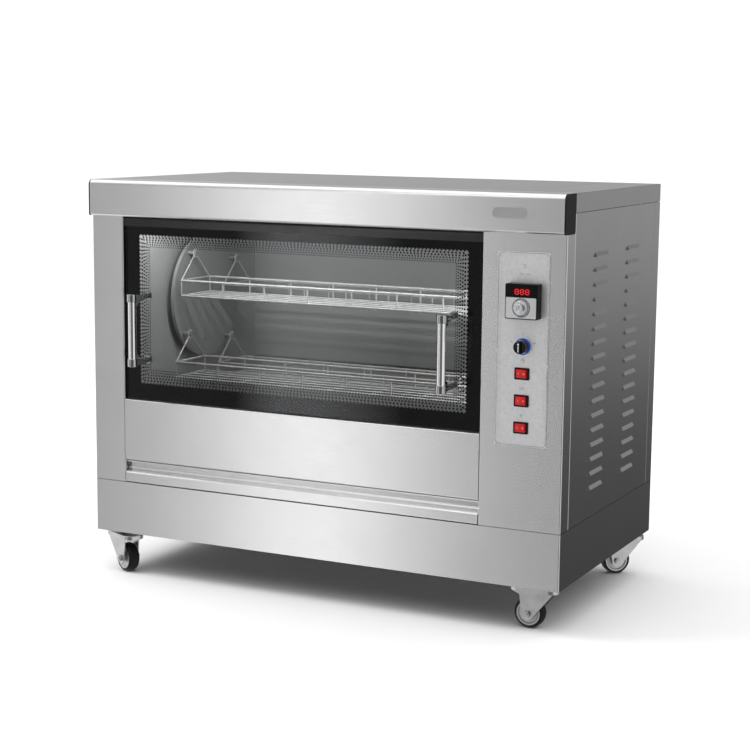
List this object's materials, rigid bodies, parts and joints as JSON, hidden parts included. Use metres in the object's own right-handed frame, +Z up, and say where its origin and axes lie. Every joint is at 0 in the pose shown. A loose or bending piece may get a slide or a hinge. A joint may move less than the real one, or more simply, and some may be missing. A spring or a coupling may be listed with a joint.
{
  "type": "rotisserie oven",
  "caption": "Steel commercial oven on casters: a rotor carries hanging wire baskets behind a flip-up glass door, with a drip tray below and controls at the right.",
  "frame": {"origin": "on the floor, under the centre of the whole oven's bounding box", "axes": "+X to the oven's right as its user faces it from the front, +Y from the door to the back, +Z up"},
  "size_m": [1.108, 0.677, 0.877],
  "materials": {
    "steel": "fine vertical grain, satin",
    "side_steel": "satin grey sheet",
    "back_steel": "plain sheet",
    "fascia_steel": "lightly stippled sheet",
    "liner_steel": "cavity liner sheet",
    "rotor_steel": "pressed disc",
    "bright_steel": "turned",
    "screw_steel": "bright",
    "tube_steel": "polished tube",
    "basket_wire": "welded wire",
    "heater_steel": "heat-darkened sheath",
    "chrome": "cast and polished",
    "zinc_sheet": "zinc plated",
    "caster_zinc": "zinc plated, stamped",
    "caster_rubber": "black tyre on a grey hub",
    "bearing_iron": "as cast",
    "motor_paint": "satin",
    "black_rail": "gloss black",
    "black_plastic": "satin moulding",
    "black_gloss": "polished moulding",
    "rocker_red": "translucent red",
    "thermostat_shell": "black case with a silver dial face",
    "selector_collar": "blue ring with a bright inner collar",
    "silicone": "matte",
    "mineral_wool": "fibrous",
    "ceramic_white": "glazed",
    "door_glass": "tempered, black printed border",
    "lamp_glass": "clear"
  },
  "bodies": {
    "cabinet": {"base_skirt": "steel", "base_floor": "zinc_sheet", "left_stile": "steel", "control_column": "steel", "fascia_plate": "fascia_steel", "lower_front_panel": "steel", "front_hood": "steel", "hood_end_caps": "black_plastic", "left_side_panel": "side_steel", "right_side_panel": "side_steel", "rear_posts": "side_steel", "roof_panel": "steel", "back_panel": "back_steel", "panel_screws": "screw_steel", "cable_gland": "black_plastic", "door_frame": "liner_steel", "door_seal": "silicone", "liner_left": "liner_steel", "liner_right": "liner_steel", "liner_wrap": "liner_steel", "insulation": "mineral_wool", "heating_elements": "heater_steel", "lamp_holder": "ceramic_white", "lamp_cover": "lamp_glass", "temperature_probe": "bright_steel", "tray_runners": "zinc_sheet", "hinge_brackets": "bright_steel", "shaft_bearings": "bearing_iron", "gear_motor": "motor_paint", "motor_bracket": "zinc_sheet", "thermostat_body": "thermostat_shell", "selector_bezel": "selector_collar", "switch_bezels": "black_gloss", "terminal_block": "ceramic_white", "caster_plates": "zinc_sheet"},
    "door": {"door_glass": "door_glass", "door_hinge_rail": "black_rail", "handle_bars": "tube_steel", "handle_brackets": "chrome"},
    "tray": {"drip_tray": "steel"},
    "idler": {"idler_disc": "rotor_steel"},
    "drive": {"drive_disc": "rotor_steel", "drive_shaft": "bright_steel"},
    "dial": {"thermostat_knob": "black_plastic"},
    "selector": {"selector_knob": "black_gloss"},
    "basket_upper_rear": {"basket_upper_rear": "basket_wire"},
    "basket_upper_front": {"basket_upper_front": "basket_wire"},
    "basket_lower_front": {"basket_lower_front": "basket_wire"},
    "basket_lower_rear": {"basket_lower_rear": "basket_wire"},
    "rocker_top": {"rocker_top": "rocker_red"},
    "rocker_middle": {"rocker_middle": "rocker_red"},
    "rocker_bottom": {"rocker_bottom": "rocker_red"},
    "front_left_fork": {"front_left_fork": "caster_zinc"},
    "front_left_wheel": {"front_left_wheel": "caster_rubber"},
    "front_right_fork": {"front_right_fork": "caster_zinc"},
    "front_right_wheel": {"front_right_wheel": "caster_rubber"},
    "rear_left_fork": {"rear_left_fork": "caster_zinc"},
    "rear_left_wheel": {"rear_left_wheel": "caster_rubber"},
    "rear_right_fork": {"rear_right_fork": "caster_zinc"},
    "rear_right_wheel": {"rear_right_wheel": "caster_rubber"}
  },
  "joints": [
    {"name": "door_hinge", "type": "hinge", "parent": "cabinet", "child": "door", "pos_m": [-0.048, -0.2635, 0.7925], "axis": [-1, 0, 0], "range_deg": [0, 88]},
    {"name": "tray_slide", "type": "slide", "parent": "cabinet", "child": "tray", "axis": [0, -1, 0], "range_m": [0, 0.42]},
    {"name": "drive_spin", "type": "hinge", "parent": "cabinet", "child": "drive", "pos_m": [0.35, 0.0275, 0.603], "axis": [1, 0, 0], "continuous": true},
    {"name": "idler_spin", "type": "hinge", "parent": "cabinet", "child": "idler", "pos_m": [-0.45, 0.0275, 0.603], "axis": [1, 0, 0], "continuous": true},
    {"name": "upper_rear_swing", "type": "hinge", "parent": "drive", "child": "basket_upper_rear", "pos_m": [-0.048, 0.13064, 0.68214], "axis": [1, 0, 0], "continuous": true},
    {"name": "upper_front_swing", "type": "hinge", "parent": "drive", "child": "basket_upper_front", "pos_m": [-0.048, -0.05164, 0.70614], "axis": [1, 0, 0], "continuous": true},
    {"name": "lower_front_swing", "type": "hinge", "parent": "drive", "child": "basket_lower_front", "pos_m": [-0.048, -0.07564, 0.52386], "axis": [1, 0, 0], "continuous": true},
    {"name": "lower_rear_swing", "type": "hinge", "parent": "drive", "child": "basket_lower_rear", "pos_m": [-0.048, 0.10664, 0.49986], "axis": [1, 0, 0], "continuous": true},
    {"name": "dial_turn", "type": "hinge", "parent": "cabinet", "child": "dial", "pos_m": [0.467, -0.3015, 0.6568], "axis": [0, 1, 0], "range_deg": [0, 300]},
    {"name": "selector_turn", "type": "hinge", "parent": "cabinet", "child": "selector", "pos_m": [0.4634, -0.2815, 0.5786], "axis": [0, 1, 0], "range_deg": [-45, 45]},
    {"name": "top_rock", "type": "hinge", "parent": "cabinet", "child": "rocker_top", "pos_m": [0.463, -0.27, 0.525], "axis": [0, 0, 1], "range_deg": [0, 18]},
    {"name": "middle_rock", "type": "hinge", "parent": "cabinet", "child": "rocker_middle", "pos_m": [0.463, -0.27, 0.4714], "axis": [0, 0, 1], "range_deg": [0, 18]},
    {"name": "bottom_rock", "type": "hinge", "parent": "cabinet", "child": "rocker_bottom", "pos_m": [0.463, -0.27, 0.4177], "axis": [0, 0, 1], "range_deg": [0, 18]},
    {"name": "front_left_swivel", "type": "hinge", "parent": "cabinet", "child": "front_left_fork", "pos_m": [-0.509, -0.2305, 0.087], "axis": [0, 0, 1], "continuous": true},
    {"name": "front_left_roll", "type": "hinge", "parent": "front_left_fork", "child": "front_left_wheel", "pos_m": [-0.48833, -0.24058, 0.03175], "axis": [-0.4384, -0.8988, 0], "continuous": true},
    {"name": "front_right_swivel", "type": "hinge", "parent": "cabinet", "child": "front_right_fork", "pos_m": [0.494, -0.2165, 0.087], "axis": [0, 0, 1], "continuous": true},
    {"name": "front_right_roll", "type": "hinge", "parent": "front_right_fork", "child": "front_right_wheel", "pos_m": [0.471, -0.2165, 0.03175], "axis": [0, 1, 0], "continuous": true},
    {"name": "rear_left_swivel", "type": "hinge", "parent": "cabinet", "child": "rear_left_fork", "pos_m": [-0.508, 0.2775, 0.087], "axis": [0, 0, 1], "continuous": true},
    {"name": "rear_left_roll", "type": "hinge", "parent": "rear_left_fork", "child": "rear_left_wheel", "pos_m": [-0.48653, 0.28574, 0.03175], "axis": [0.3584, -0.9336, 0], "continuous": true},
    {"name": "rear_right_swivel", "type": "hinge", "parent": "cabinet", "child": "rear_right_fork", "pos_m": [0.507, 0.2785, 0.087], "axis": [0, 0, 1], "continuous": true},
    {"name": "rear_right_roll", "type": "hinge", "parent": "rear_right_fork", "child": "rear_right_wheel", "pos_m": [0.48863, 0.26466, 0.03175], "axis": [-0.6018, 0.7986, 0], "continuous": true}
  ],
  "couplings": [
    {"joint": "idler_spin", "follows": "drive_spin", "ratio": 1},
    {"joint": "upper_rear_swing", "follows": "drive_spin", "ratio": -1},
    {"joint": "upper_front_swing", "follows": "drive_spin", "ratio": -1},
    {"joint": "lower_front_swing", "follows": "drive_spin", "ratio": -1},
    {"joint": "lower_rear_swing", "follows": "drive_spin", "ratio": -1}
  ]
}
